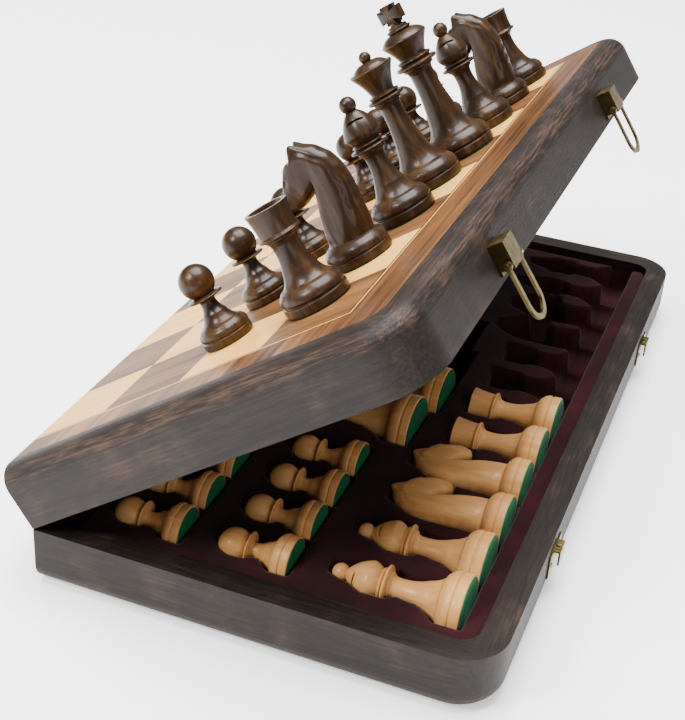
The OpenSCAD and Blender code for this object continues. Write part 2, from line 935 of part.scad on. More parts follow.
light_rook(2);  // light_rook_2
light_king();
light_queen();
light_pawn(1);  // light_pawn_1
light_pawn(2);  // light_pawn_2
light_pawn(3);  // light_pawn_3
light_pawn(4);  // light_pawn_4
light_pawn(5);  // light_pawn_5
light_pawn(6);  // light_pawn_6
light_pawn(7);  // light_pawn_7
light_pawn(8);  // light_pawn_8
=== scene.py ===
import math

import bpy
import numpy as np
from mathutils import Matrix


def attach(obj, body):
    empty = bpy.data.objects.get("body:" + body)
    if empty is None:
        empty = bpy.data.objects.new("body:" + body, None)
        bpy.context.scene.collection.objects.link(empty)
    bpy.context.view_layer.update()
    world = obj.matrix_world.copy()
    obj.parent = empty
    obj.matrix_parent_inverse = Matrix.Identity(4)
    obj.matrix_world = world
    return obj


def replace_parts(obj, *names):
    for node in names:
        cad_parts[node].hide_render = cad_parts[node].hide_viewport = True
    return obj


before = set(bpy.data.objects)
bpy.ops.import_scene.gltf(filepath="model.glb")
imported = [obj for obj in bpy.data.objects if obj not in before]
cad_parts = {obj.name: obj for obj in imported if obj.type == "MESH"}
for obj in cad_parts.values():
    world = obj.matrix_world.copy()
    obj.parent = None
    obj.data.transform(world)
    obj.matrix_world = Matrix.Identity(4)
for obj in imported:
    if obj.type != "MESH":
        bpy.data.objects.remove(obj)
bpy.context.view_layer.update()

# Studio. The box stands on a faintly glowing white sweep in a dim white room. A broad lamp overhead does
# most of the lighting, with a small warm one behind the lid's near corner and a weak fill on the latches'
# side, and the camera looks from where the photograph was taken.
floor_level = 0.0
camera_at = (-0.5631, -0.1591, 0.3678)
camera_right = (0.36237, -0.92994, 0.06251)
camera_up = (0.44743, 0.23240, 0.86360)
lens = 68.2


def look_matrix(right, up, at):
    """Rotation whose columns are right, up and their cross product, with the place as last column."""
    right = np.array(right) / np.linalg.norm(right)
    back = np.cross(right, up)
    back /= np.linalg.norm(back)
    m = np.eye(4)
    m[:3, 0], m[:3, 1], m[:3, 2], m[:3, 3] = right, np.cross(back, right), back, at
    return Matrix(m.tolist())


camera = bpy.data.objects.new("camera", bpy.data.cameras.new("camera"))
bpy.context.scene.collection.objects.link(camera)
camera.data.lens, camera.data.sensor_width, camera.data.clip_start = lens, 36.0, 0.01
camera.matrix_world = look_matrix(camera_right, camera_up, camera_at)
bpy.context.scene.camera = camera


def soft_lamp(name, at, aim, size, power, tint=(1, 1, 1)):
    """Square area lamp whose face points from one place to another."""
    data = bpy.data.lights.new(name, "AREA")
    data.size, data.energy, data.color = size, power, tint
    lamp = bpy.data.objects.new(name, data)
    bpy.context.scene.collection.objects.link(lamp)
    back = np.array(at, float) - np.array(aim, float)
    right = np.cross((0, 0, 1), back)
    lamp.matrix_world = look_matrix(right, np.cross(back, right), at)


soft_lamp("overhead", (0.2, 0.3, 2.4), (0.0, 0.0, 0.0), 1.9, 230)
soft_lamp("window", (-1.1, 0.9, 1.3), (0, 0.05, 0.05), 0.6, 40, (1.0, 0.97, 0.93))
soft_lamp("fill", (-1.5, -1.3, 0.8), (0, 0, 0.05), 1.0, 10)
world = bpy.data.worlds.new("studio")
world.use_nodes = True
world.node_tree.nodes["Background"].inputs["Color"].default_value = (1, 1, 1, 1)
world.node_tree.nodes["Background"].inputs["Strength"].default_value = 0.3
bpy.context.scene.world = world


def piece(name, verts, faces, smooth=True):
    """New mesh object from an array of points and a list or array of faces."""
    mesh = bpy.data.meshes.new(name)
    verts = np.asarray(verts, float).reshape(-1, 3)
    mesh.from_pydata(verts.tolist(), [], faces.tolist() if isinstance(faces, np.ndarray) else faces)
    mesh.polygons.foreach_set("use_smooth", np.full(len(mesh.polygons), smooth))
    mesh.update()
    made = bpy.data.objects.new(name, mesh)
    bpy.context.scene.collection.objects.link(made)
    return made


def grid_faces(rows, columns, around=False):
    """Quads between neighbouring rows and columns of a grid; around joins the last column to the first."""
    i, j = np.meshgrid(np.arange(rows - 1), np.arange(columns - (0 if around else 1)), indexing="ij")
    k = (j + 1) % columns
    return np.stack([i * columns + j, i * columns + k, (i + 1) * columns + k, (i + 1) * columns + j],
                    -1).reshape(-1, 4)


class Shade:
    """One value in a material's nodes; arithmetic on it adds Math nodes."""

    def __init__(self, tree, socket=None):
        self.tree, self.socket = tree, socket

    def node(self, kind, settings=None, sockets=None, out=0):
        """Any node: its type, then its settings, then values or links for its sockets."""
        made = self.tree.nodes.new("ShaderNode" + kind)
        for name, value in (settings or {}).items():
            if name == "stops":
                ramp = made.color_ramp
                while len(ramp.elements) < len(value):
                    ramp.elements.new(0.5)
                for element, (at, colour) in zip(ramp.elements, value):
                    element.position, element.color = at, (*colour, 1)
            else:
                setattr(made, name, value)
        for name, value in (sockets or {}).items():
            if isinstance(value, Shade):
                self.tree.links.new(value.socket, made.inputs[name])
            else:
                made.inputs[name].default_value = value
        return Shade(self.tree, made.outputs[out])

    def maths(self, operation, a, b=0.0):
        """A Math node on two values."""
        return self.node("Math", {"operation": operation}, {0: a, 1: b})

    def __add__(self, other):
        return self.maths("ADD", self, other)

    def __mul__(self, other):
        return self.maths("MULTIPLY", self, other)

    def __sub__(self, other):
        return self.maths("SUBTRACT", self, other)

    def __rsub__(self, other):
        return self.maths("SUBTRACT", other, self)

    __radd__, __rmul__ = __add__, __mul__

    def blend(self, low, high):
        """Colour mix from low to high by this value."""
        sockets = {0: self, 6: low if isinstance(low, Shade) else (*low, 1),
                   7: high if isinstance(high, Shade) else (*high, 1)}
        return self.node("Mix", {"data_type": "RGBA"}, sockets, out=2)

    def ramp(self, *stops):
        """Colour by this value, from stops of a place and a colour."""
        return self.node("ValToRGB", {"stops": stops}, {0: self})

    def clamp(self, low, high):
        """Linear step from 0 at low to 1 at high."""
        return self.node("MapRange", {"clamp": True}, {"Value": self, "From Min": low, "From Max": high})


def finish(name, **fixed):
    """A material with its main shader: returns the material, a Shade to start from and the shader."""
    material = bpy.data.materials.new(name)
    material.use_nodes = True
    shader = material.node_tree.nodes["Principled BSDF"]
    for socket, value in fixed.items():
        shader.inputs[socket.replace("_", " ")].default_value = value
    return material, Shade(material.node_tree), shader


def wire(shader, start, **links):
    """Links values to the shader's sockets; an underscore in a name stands for a space."""
    for socket, value in links.items():
        start.tree.links.new(value.socket, shader.inputs[socket.replace("_", " ")])


def dress(material, *nodes):
    """Gives CAD nodes a material in place of their packed one."""
    for name in nodes:
        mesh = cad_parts[name].data
        mesh.materials.clear()
        mesh.materials.append(material)


floor_size = 6.0
side = np.linspace(-floor_size, floor_size, 2)
fx, fy = np.meshgrid(side, side, indexing="ij")
floor = piece("floor", np.stack([fx, fy, np.full_like(fx, floor_level)], -1), grid_faces(2, 2)[:, ::-1])
white, start, shader = finish("white_sweep", Roughness=0.9, Emission_Color=(1, 1, 1, 1), Emission_Strength=0.7)
cloud = start.node("TexNoise", None, {"Scale": 0.7, "Vector": start.node("TexCoord", out=3)})
wire(shader, start, Base_Color=cloud.ramp((0.0, (0.93, 0.93, 0.93)), (1.0, (0.97, 0.97, 0.97))))
floor.data.materials.append(white)

# Rails. Both halves are framed in solid timber stained nearly black, mitred at the front corners, the
# long outer edges rounded over and the grain running along each rail.
lid_turn = math.radians(35)
half_long, half_deep, case_high = 0.1905, 0.097, 0.027
rail_dark, rail_mid, rail_pale = (0.0055, 0.0035, 0.0028), (0.0165, 0.0105, 0.0080), (0.060, 0.033, 0.019)


def along_grain(start, axis, turn, stretch):
    """Object coordinates, turned back to the piece and squeezed along the grain's axis."""
    place = start.node("TexCoord", out=3)
    flat = start.node("Mapping", {"vector_type": "TEXTURE"}, {"Vector": place, "Rotation": (-turn, 0, 0)})
    scale = [1.0, 1.0, 1.0]
    scale[axis] = 1.0 / stretch
    return start.node("Mapping", None, {"Vector": flat, "Scale": scale})


def stained_rail(name, axis, turn):
    """Dark stain over open grain: fine pores and slow figure along the rail, rubbed paler in patches; the
    rounded upper edge, which faces neither up nor sideways, is speckled paler: partly wear, partly a painted
    highlight."""
    material, start, shader = finish(name, Specular_IOR_Level=0.22)
    grain = along_grain(start, axis, turn, 16.0)
    place = start.node("TexCoord", out=3)
    pores = start.node("TexNoise", None, {"Vector": grain, "Scale": 900.0, "Detail": 6.0, "Roughness": 0.75})
    figure = start.node("TexNoise", None, {"Vector": grain, "Scale": 130.0, "Detail": 3.0, "Distortion": 1.0})
    worn = start.node("TexNoise", None, {"Vector": place, "Scale": 55.0, "Detail": 4.0})
    up = start.node("VectorMath", {"operation": "DOT_PRODUCT"},
                    {0: start.node("TexCoord", out=1), 1: (0, math.sin(turn), math.cos(turn))}, out=1)
    # Paler speckles on the rounded edge, picked by which way the surface faces: partly wear, partly a painted
    # highlight.
    edge_wear_and_highlight = start.maths("ABSOLUTE", up - 0.55).clamp(0.42, 0.15) * pores.clamp(0.40, 0.62) * 0.45
    tone = edge_wear_and_highlight + pores.clamp(0.36, 0.68) * 0.55 + figure.clamp(0.35, 0.7) * 0.16 + worn.clamp(0.50, 0.72) * 0.34
    wire(shader, start, Base_Color=tone.ramp((0.12, rail_dark), (0.50, rail_mid), (1.0, rail_pale)),
         Roughness=pores * 0.22 + 0.42,
         Normal=start.node("Bump", None, {"Height": pores, "Strength": 0.35, "Distance": 0.0005}))
    return material


for turn, half in ((0.0, "tray"), (lid_turn, "lid")):
    dress(stained_rail(half + "_rail_long", 0, turn), half + "_front_rail", half + "_back_rail")
    dress(stained_rail(half + "_rail_end", 1, turn), half + "_near_rail", half + "_far_rail")

# Board. Squares of maple and walnut veneer on a ply panel, with a black and maple line let in round three
# sides of them and a walnut border mitred at the corners.
square = 0.0405
maple_pale, maple_mid, maple_deep = (0.72, 0.40, 0.110), (0.62, 0.32, 0.078), (0.46, 0.21, 0.046)
walnut_pale, walnut_mid, walnut_deep = (0.21, 0.092, 0.030), (0.105, 0.044, 0.0140), (0.030, 0.011, 0.0035)


def veneer(name, axis, turn, pale, mid, deep, contrast=1.0):
    """Fine lines and slower bands of figure along the grain, under a thin satin coat."""
    material, start, shader = finish(name, Specular_IOR_Level=0.16, Coat_Weight=0.04, Coat_Roughness=0.25)
    grain = along_grain(start, axis, turn, 22.0)
    line = start.node("TexNoise", None, {"Vector": grain, "Scale": 330.0, "Detail": 5.0, "Roughness": 0.6})
    band = start.node("TexNoise", None, {"Vector": grain, "Scale": 60.0, "Detail": 2.0, "Distortion": 0.8})
    tone = line.clamp(0.3, 0.75) * (0.5 * contrast) + band.clamp(0.3, 0.72) * (0.5 * contrast)
    wire(shader, start, Base_Color=tone.ramp((0.05, pale), (0.5, mid), (1.0, deep)),
         Roughness=line * 0.15 + 0.42,
         Normal=start.node("Bump", None, {"Height": line, "Strength": 0.08, "Distance": 0.0003}))
    return material


for turn, half in ((0.0, "tray"), (lid_turn, "lid")):
    dress(veneer(half + "_maple", 1, turn, maple_pale, maple_mid, maple_deep, 0.7), half + "_light_squares",
          half + "_board")
    dress(veneer(half + "_walnut", 1, turn, walnut_pale, walnut_mid, walnut_deep), half + "_dark_squares")
    dress(veneer(half + "_walnut_border", 0, turn, (0.29, 0.130, 0.038), (0.125, 0.050, 0.0145),
                  (0.022, 0.008, 0.0027), 1.2),
          half + "_border")
# The inlaid line is two strips laid side by side: black against the squares, maple against the border.
line_split, line_wide, line_thick = 0.00095, 0.0016, 0.0012


def tip_with_lid(x, y, z):
    """Points turned with the open lid. y runs from the hinge line, negative towards the latches, and z is the
    height over it: depth is y cosine + z sine, and height is z cosine - y sine, of the lid's turn."""
    c, s = math.cos(lid_turn), math.sin(lid_turn)
    return np.stack([x, half_deep + y * c + z * s, case_high - y * s + z * c], -1)


def inlaid_line(name, inner, outer, dark, light):
    """A flat strip round three sides of the squares: its rectangle is carried down one side from the hinges,
    along the front and up the other side, then tipped with the lid."""
    section = np.array([(inner, 0), (outer, 0), (outer, -line_thick), (inner, -line_thick)])
    side = np.array([(-1, 0), (-1, 1), (1, 1), (1, 0)])[:, None]
    x, down = (side[..., k] * (4 * square + section[:, 0]) for k in (0, 1))
    points = tip_with_lid(x, -down, section[:, 1] + case_high + 0 * x)
    strip = piece(name, points, grid_faces(4, 4, around=True).tolist() + [[3, 2, 1, 0], [12, 13, 14, 15]], False)
    material, start, shader = finish(name, Roughness=0.4, Specular_IOR_Level=0.2)
    speck = start.node("TexNoise", None, {"Vector": start.node("TexCoord", out=3), "Scale": 900.0})
    wire(shader, start, Base_Color=speck.ramp((0.3, dark), (0.8, light)))
    strip.data.materials.append(material)
    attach(strip, "lid")
    return strip


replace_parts(inlaid_line("black_line", 0, line_split, (0.008, 0.005, 0.004), (0.03, 0.018, 0.012)), "lid_stringing")
inlaid_line("pale_line", line_split, line_wide, (0.72, 0.42, 0.13), (0.60, 0.32, 0.08))

# Flock. The insert and the lid's lining are pressed fibre covered in short maroon nylon pile.
flock_deep, flock_mid, flock_lit = (0.007, 0.0011, 0.0016), (0.020, 0.0030, 0.0042), (0.055, 0.0090, 0.012)


def flocked(name):
    """Dull pile with a slight sheen: fine speckle over slow patches of lighter and darker nap."""
    material, start, shader = finish(name, Roughness=0.95, Specular_IOR_Level=0.15, Sheen_Weight=0.12,
                                     Sheen_Roughness=0.4)
    place = start.node("TexCoord", out=3)
    pile = start.node("TexNoise", None, {"Vector": place, "Scale": 2600.0, "Detail": 3.0})
    patch = start.node("TexNoise", None, {"Vector": place, "Scale": 45.0, "Detail": 3.0})
    tone = pile * 0.6 + patch * 0.4
    wire(shader, start, Base_Color=tone.ramp((0.3, flock_deep), (0.5, flock_mid), (0.75, flock_lit)),
         Normal=start.node("Bump", None, {"Height": pile, "Strength": 0.5, "Distance": 0.0004}))
    return material


rail_and_gap, corner_round = 0.0125, 0.006
lining_reach = np.array((half_long - rail_and_gap, half_deep - rail_and_gap))
insert_top, hollow_floor, lining_top, sheet_under = 0.0230, 0.0046, 0.0069, 0.0041
seat_gap = 0.0006
officer_at = [-0.1545 + 0.0293 * min(n, 5) + 0.0285 * max(n - 5, 0) for n in range(12)]
royal_at = [-0.042 + 0.033 * n for n in range(4)]
pawn_at = [-0.157 + 0.0255 * n for n in range(4)]
spare_at = [0.157 - 0.0245 * n for n in range(4)]
lie_high, front_row, king_row, queen_row, pawn_rows = 0.0211, 0.021, 0.080, 0.076, (0.093, 0.141)
# Half widths of each man's hollow along its height: (height, left, right) in millimetres.
hollow_shapes = {
    "king": [(0, 16.5, 16.5), (12, 16.5, 16.5), (18, 11.5, 11.5), (24, 8.6, 8.6), (40, 6.6, 6.6), (45, 10, 10),
             (53, 10, 10), (61, 11.5, 11.5), (66, 9, 9), (69, 7.5, 7.5), (74, 7, 7), (78, 4, 4)],
    "queen": [(0, 15.6, 15.6), (11, 15.6, 15.6), (16, 11, 11), (21, 8, 8), (38, 6, 6), (42, 8.5, 8.5),
              (50, 8.6, 8.6), (59, 10.6, 10.6), (62, 7, 7), (67, 3.4, 3.4)],
    "bishop": [(0, 13.8, 13.8), (10.5, 13.8, 13.8), (15, 9.6, 9.6), (19, 6.8, 6.8), (28, 5.6, 5.6), (32, 8.6, 8.6),
               (36, 8.6, 8.6), (42, 9.2, 9.2), (48, 5.6, 5.6), (53, 4.4, 4.4), (57, 2.5, 2.5)],
    "rook": [(0, 13.7, 13.7), (10, 13.7, 13.7), (14, 9.5, 9.5), (19, 7, 7), (25, 6.6, 6.6), (29, 9, 9),
             (42, 9.4, 9.4)],
    "pawn": [(0, 10.7, 10.7), (8, 10.7, 10.7), (11, 7.6, 7.6), (14, 5, 5), (17, 5, 5), (19.5, 7.6, 7.6),
             (23, 7.8, 7.8), (27, 7.8, 7.8), (31.5, 5.5, 5.5), (34, 2.5, 2.5)],
    "knight": [(0, 13.8, 13.8), (10, 13.8, 13.8), (13, 11.4, 10.6), (24, 12, 8.5), (27, 12, 11), (30, 12, 17.4),
               (35, 12, 17.6), (41, 11, 14.6), (47, 7.5, 9.5), (53, 3.5, 4)],
}
hollows = [(officer_at[n], front_row, kind) for n, kind in enumerate(
    ["bishop"] * 2 + ["knight"] * 2 + ["rook"] * 4 + ["knight"] * 2 + ["bishop"] * 2)]
hollows += [(royal_at[n], king_row, "king") for n in (0, 3)] + [(royal_at[n], queen_row, "queen") for n in (1, 2)]
hollows += [(x, row, "pawn") for row in pawn_rows for x in pawn_at + spare_at]


def pressed_depth(x, y, top, lowest):
    """Height of the pressed surface. Inside a hollow it is a boxy trough down to the lowest height: lie_high
    less 0.4 mm less half width times the fifth root of 1 - u^5, u being the distance off the man's axis over
    the half width. A smooth step 1.3 mm wide carries it up to the top, which swells in slow sines."""
    swell = 0.00012 * np.sin(x * 210 + 3 * np.sin(y * 90)) * np.cos(y * 170)
    high = top + swell
    for x0, row, kind in hollows:
        shape = np.array(hollow_shapes[kind]) / 1000
        along = y + half_deep - row
        left = np.interp(along, shape[:, 0], shape[:, 1]) + seat_gap
        right = np.interp(along, shape[:, 0], shape[:, 2]) + seat_gap
        middle, half = x0 + (right - left) / 2, (left + right) / 2
        beyond = np.maximum(-seat_gap - along, along - shape[-1, 0] - seat_gap)
        off = np.maximum(np.abs(x - middle) - half, beyond)
        u = np.clip(np.abs(x - middle) / half, 0, 1)
        trough = lie_high - half * (1 - u ** 5) ** 0.2 - 0.0004
        trough = np.maximum(trough, lowest)
        step = np.clip(off / 0.0013 + 0.45, 0, 1)
        step = step * step * (3 - 2 * step)
        here = np.where(off < 0.0011, trough * (1 - step) + high * step, high)
        high = np.minimum(high, here)
    return high


def round_corners(x, y, radius):
    """Bends a rectangular grid's corner squares to quarter discs: a becomes a times the root of 1 - b^2 / 2
    and b becomes b times the root of 1 - a^2 / 2, a and b running from 0 to 1 over the corner square."""
    a, b = (np.clip((np.abs(v) - (reach - radius)) / radius, 0, 1) for v, reach in zip((x, y), lining_reach))
    shift_x = radius * (a * np.sqrt(1 - b * b / 2) - a)
    shift_y = radius * (b * np.sqrt(1 - a * a / 2) - b)
    return x + np.sign(x) * shift_x, y + np.sign(y) * shift_y


def pressed_sheet(columns, rows, height, under, edge=0.0016):
    """Closed block whose top is a height field and whose rim rolls over a quarter round to a level underside."""
    x, y = np.meshgrid(columns, rows, indexing="ij")
    x, y = round_corners(x, y, corner_round)
    z = height(x, y)
    inset = np.minimum(lining_reach[0] - np.abs(x), lining_reach[1] - np.abs(y))
    roll = np.clip(1 - inset / edge, 0, 1)
    z = z - edge * (1 - np.sqrt(1 - roll ** 2)) * 0.8
    top = np.stack([x, y, z], -1)
    n, m = x.shape
    index = np.arange(n * m).reshape(n, m)
    rim = np.concatenate([index[:, 0], index[-1, 1:], index[-2::-1, -1], index[0, -2:0:-1]])
    low = top.reshape(-1, 3)[rim].copy()
    low[:, 2] = under
    k = np.arange(len(rim))
    skirt = np.stack([rim, n * m + k, n * m + (k + 1) % len(rim), rim[(k + 1) % len(rim)]], -1)
    faces = grid_faces(n, m)[:, ::-1].tolist() + skirt[:, ::-1].tolist() + [(n * m + k)[::-1].tolist()]
    return np.concatenate([top.reshape(-1, 3), low]), faces


# The insert's grid is finer over the far half, whose hollows are mostly empty: 0.66 mm steps against 1.1 mm.
fine_from = -0.012
columns = np.concatenate([np.linspace(-lining_reach[0], fine_from, 150)[:-1],
                          np.linspace(fine_from, lining_reach[0], 290)])
rows = np.linspace(-lining_reach[1], lining_reach[1], 206)
verts, faces = pressed_sheet(columns, rows, lambda x, y: pressed_depth(x, y, insert_top, hollow_floor),
                             sheet_under)
tray_lining = piece("pressed_insert", verts, faces)
columns, rows = (np.linspace(-reach, reach, count) for reach, count in zip(lining_reach, (120, 60)))
verts, faces = pressed_sheet(columns, rows, lambda x, y: lining_top + 0.0002 * np.sin(
    x * 160 + 2 * np.sin(y * 70)), sheet_under)
shut = verts * (1, 1, -1) + (0, 0, 2 * case_high)
verts = tip_with_lid(shut[:, 0], shut[:, 1] - half_deep, shut[:, 2] - case_high)
lid_lining = piece("lid_lining", verts, [face[::-1] for face in faces])
for lining, node, body in ((tray_lining, "insert", "tray"), (lid_lining, "lid_pad", "lid")):
    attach(lining, body)
    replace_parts(lining, node)
    lining.data.materials.append(flocked("maroon_flock_" + body))

# Brass. Hinges, latches and catches are pressed from thin brass sheet and antiqued; the faces that point along the
# box's length carry painted shade.
brass_patina_and_shade, start, shader = finish("antique_brass_and_painted_shade", Metallic=1.0)
place = start.node("TexCoord", out=3)
stain = start.node("TexNoise", None, {"Vector": place, "Scale": 260.0, "Detail": 5.0})
brush = start.node("TexNoise", None, {"Vector": place, "Scale": 1500.0, "Detail": 2.0})
# Painted shade: faces whose normal points along X, either way, are blended to a dark brown.
shade_side_facing = start.node("VectorMath", {"operation": "DOT_PRODUCT"},
                    {0: start.node("NewGeometry", out=1), 1: (1, 0, 0)}, out=1)
bright = stain.ramp((0.3, (0.12, 0.082, 0.026)), (0.5, (0.27, 0.200, 0.072)), (0.75, (0.46, 0.36, 0.14)))
wire(shader, start, Base_Color=start.maths("ABSOLUTE", shade_side_facing).clamp(0.3, 0.9).blend(bright, (0.050, 0.033, 0.012)),
     Roughness=stain * 0.25 + 0.22,
     Normal=start.node("Bump", None, {"Height": brush, "Strength": 0.15, "Distance": 0.0002}))
dress(brass_patina_and_shade, "tray_hinge_leaves", "lid_hinge_leaves", "hinge_pins", "latch_brackets", "near_latch_loop",
      "far_latch_loop", "catches")

# Men. Sixteen dark men of walnut stand on the lid and sixteen of boxwood lie in the insert. Each is
# turned on a lathe, a knight's head is carved and glued into its turned foot, then all are polished and
# a disc of green felt is glued under the foot.
king, queen, bishop = (0.0165, 0.078), (0.0156, 0.067), (0.0138, 0.057)
knight, rook, pawn = (0.0138, 0.053), (0.0137, 0.042), (0.0107, 0.034)
felt_thick, felt_in = 0.0008, 0.0008


def foot(height):
    """Stations of the weighted foot, in base radii and heights: lower disc, groove, swelling, shoulder."""
    return [(0.90, 0.0105, 0), (0.98, 0.0108, 0), (1, 0.0165, 0), (1, 0.40 * height, 0),
            (0.95, 0.43 * height, 0), (0.95, 0.48 * height, 0), (1, 0.50 * height, 0.5),
            (0.88, 0.88 * height, 0.2), (0.76, height, 0)]


def ball(radius, size, start):
    """Stations of a ball whose top is the man's top, from an angle below its equator to its pole."""
    a = np.radians(np.linspace(start, 90, 14))
    across, tall = radius * np.cos(a) / size[0], 1 + radius * (np.sin(a) - 1) / size[1]
    return [(x, z, 0) for x, z in zip(across, tall)]


turned_shapes = {
    "king": (king, foot(0.15) + [
        (0.70, 0.157, -0.4), (0.52, 0.235, -0.9), (0.35, 0.56, 0), (0.38, 0.582, 0), (0.44, 0.587, 0.2),
        (0.45, 0.602, 0), (0.60, 0.608, 0.3), (0.60, 0.628, 0), (0.44, 0.635, 0), (0.50, 0.643, 0.25),
        (0.50, 0.658, 0), (0.40, 0.665, -0.4), (0.68, 0.775, 0.2), (0.66, 0.79, 0.6), (0.31, 0.832, 0),
        (0.35, 0.836, 0.3), (0.35, 0.85, 0), (0.27, 0.854, 0.25), (0.27, 0.868, 0), (0.18, 0.872, 0),
        (0.18, 0.90, 0), (0, 0.90, 0)]),
    "queen": (queen, foot(0.165) + [
        (0.70, 0.172, -0.4), (0.51, 0.26, -0.9), (0.32, 0.61, 0), (0.36, 0.63, 0), (0.41, 0.635, 0.2),
        (0.42, 0.65, 0), (0.54, 0.655, 0.3), (0.54, 0.675, 0), (0.40, 0.68, 0), (0.46, 0.688, 0.25),
        (0.46, 0.70, 0), (0.35, 0.705, -0.6), (0.66, 0.872, 0.2), (0.64, 0.888, 0), (0.54, 0.886, 0.9),
        (0.13, 0.93, 0)] + ball(0.18 * queen[0], queen, -45)),
    "bishop": (bishop, foot(0.19) + [
        (0.70, 0.198, -0.4), (0.49, 0.30, -0.9), (0.33, 0.53, 0), (0.37, 0.553, 0), (0.43, 0.558, 0.2),
        (0.43, 0.573, 0), (0.60, 0.582, 0.3), (0.60, 0.604, 0), (0.43, 0.61, 0), (0.49, 0.618, 0.25),
        (0.49, 0.634, 0), (0.42, 0.64, 0.5), (0.60, 0.715, 1.0), (0.15, 0.892, 0)]
        + ball(0.27 * bishop[0], bishop, -52)),
    "rook": (rook, foot(0.25) + [
        (0.70, 0.26, -0.4), (0.52, 0.38, -0.7), (0.41, 0.65, 0), (0.45, 0.69, 0), (0.50, 0.695, 0.2),
        (0.50, 0.712, 0), (0.63, 0.72, 0.4), (0.63, 0.75, 0), (0.58, 0.76, -0.3), (0.66, 1, 0),
        (0.52, 1, 0), (0.47, 0.91, -0.3), (0, 0.89, 0)]),
    "pawn": (pawn, foot(0.25) + [
        (0.70, 0.26, -0.4), (0.47, 0.38, -0.6), (0.31, 0.545, 0), (0.36, 0.56, 0), (0.68, 0.575, 0.3),
        (0.68, 0.60, 0), (0.36, 0.622, 0)] + ball(0.215 * pawn[1], pawn, -56)),
    "knight": (knight, foot(0.19) + [(0.72, 0.197, 0), (0.66, 0.212, 0), (0, 0.212, 0)]),
}


fine_step, corner_ease, longest_run, slot_run = 0.00008, 0.00022, 0.001, 0.00026


def eased_profile(size, stations, longest):
    """Radius and height along a turned profile. Each stretch bows by its bulge in millimetres, a parabola at
    right angles to it; the whole line is then averaged along its length by a bell curve, which rounds every
    corner, and thinned to points where it has turned 9 degrees or run the longest step."""
    line = []
    for (a, b, bulge), (c, d, _) in zip(stations, stations[1:]):
        p, q = np.array((a * size[0], b * size[1])), np.array((c * size[0], d * size[1]))
        run = np.linalg.norm(q - p)
        count = max(int(run / fine_step), 1)
        t = np.arange(count)[:, None] / count
        normal = np.array((q[1] - p[1], p[0] - q[0])) / run
        line.append(p + (q - p) * t + normal * (bulge * 0.001 * 4 * t * (1 - t)))
    line = np.concatenate(line + [np.array([[stations[-1][0] * size[0], stations[-1][1] * size[1]]])])
    reach = np.arange(-8, 9)
    bell = np.exp(-0.5 * (reach * fine_step / corner_ease) ** 2)
    padded = np.concatenate([np.repeat(line[:1], 8, 0), line, 2 * line[-1] - line[-2:-10:-1]])
    eased = np.stack([np.convolve(padded[:, k], bell / bell.sum(), "valid") for k in (0, 1)], 1)
    eased[-1, 0] = 0
    eased[:, 0] = np.maximum(eased[:, 0], 0)
    step = np.diff(eased, axis=0)
    turn = np.abs(np.diff(np.unwrap(np.arctan2(step[:, 1], step[:, 0]))))
    spent = np.concatenate([[0], np.cumsum(np.linalg.norm(step, axis=1) / longest
                                           + np.concatenate([[0], turn]) / math.radians(9))])
    keep = np.unique(np.searchsorted(spent, np.linspace(0, spent[-1], int(spent[-1]) + 2)).clip(0, len(eased) - 1))
    return eased[keep]


def lathe(profile, segments=64):
    """Points of a profile carried round the upright axis: radius times cosine and sine of the turn."""
    a = np.linspace(0, 2 * np.pi, segments, endpoint=False)
    return np.stack([profile[:, :1] * np.cos(a), profile[:, :1] * np.sin(a),
                     np.repeat(profile[:, 1:], segments, 1)], -1)


def closed_rings(points):
    """Faces over a grid of rings, closed by a fan at the first and at the last ring."""
    rows, columns = points.shape[:2]
    faces = grid_faces(rows, columns, around=True)
    last = (rows - 1) * columns
    return faces.tolist() + [list(range(columns))[::-1], list(range(last, last + columns))]


def stand_on_lid(points, file, rank, along, back, spin):
    """Turns a man about its axis, sets it on its square and tips it with the lid."""
    c, s = math.cos(spin), math.sin(spin)
    x = points[..., 0] * c - points[..., 1] * s + (file - 3.5) * square + along
    y = points[..., 0] * s + points[..., 1] * c - (rank + 0.5) * square + back
    return tip_with_lid(x, y, points[..., 2] + case_high)


def lie_in_tray(points, x, from_front, spin):
    """Turns a man about its axis and lays it down, felt towards the latches."""
    c, s = math.cos(spin), math.sin(spin)
    return np.stack([points[..., 0] * c - points[..., 1] * s + x, points[..., 2] - half_deep + from_front,
                     lie_high - points[..., 0] * s - points[..., 1] * c], -1)


def bishop_slot(points):
    """Sinks a saw cut into a bishop's head: a point within 0.3 mm of a plane that rises outwards at 30
    degrees on the +X side moves 1.6 mm towards the axis. The shift is gone by 0.45 mm from the plane, and
    fades from x = 5.4 mm to nothing at 4.6 mm."""
    x, z = points[..., 0], points[..., 2]
    slope = math.radians(30)
    off = np.abs((z - 0.765 * bishop[1]) * math.cos(slope) - x * math.sin(slope))
    sink = 0.0016 * np.clip((0.00045 - off) / 0.00015, 0, 1) * np.clip((x - 0.0046) / 0.0008, 0, 1)
    shrink = 1 - sink / np.maximum(np.hypot(x, points[..., 1]), 0.003)
    return np.stack([x * shrink, points[..., 1] * shrink, z], -1)


# The knight's spine, in heights: forward, up, half depth, half width and tilt of each ring.
knight_spine = np.array([
    (-0.005, 0.190, 0.192, 0.185, 0), (-0.036, 0.336, 0.176, 0.165, 0), (-0.064, 0.472, 0.160, 0.145, 0),
    (-0.086, 0.594, 0.146, 0.130, 4), (-0.082, 0.708, 0.142, 0.118, 29), (-0.040, 0.778, 0.153, 0.110, 60),
    (0.030, 0.825, 0.165, 0.105, 96), (0.125, 0.762, 0.148, 0.107, 108), (0.188, 0.703, 0.128, 0.102, 119),
    (0.232, 0.652, 0.103, 0.090, 130), (0.264, 0.604, 0.080, 0.075, 142), (0.286, 0.566, 0.046, 0.052, 150)])


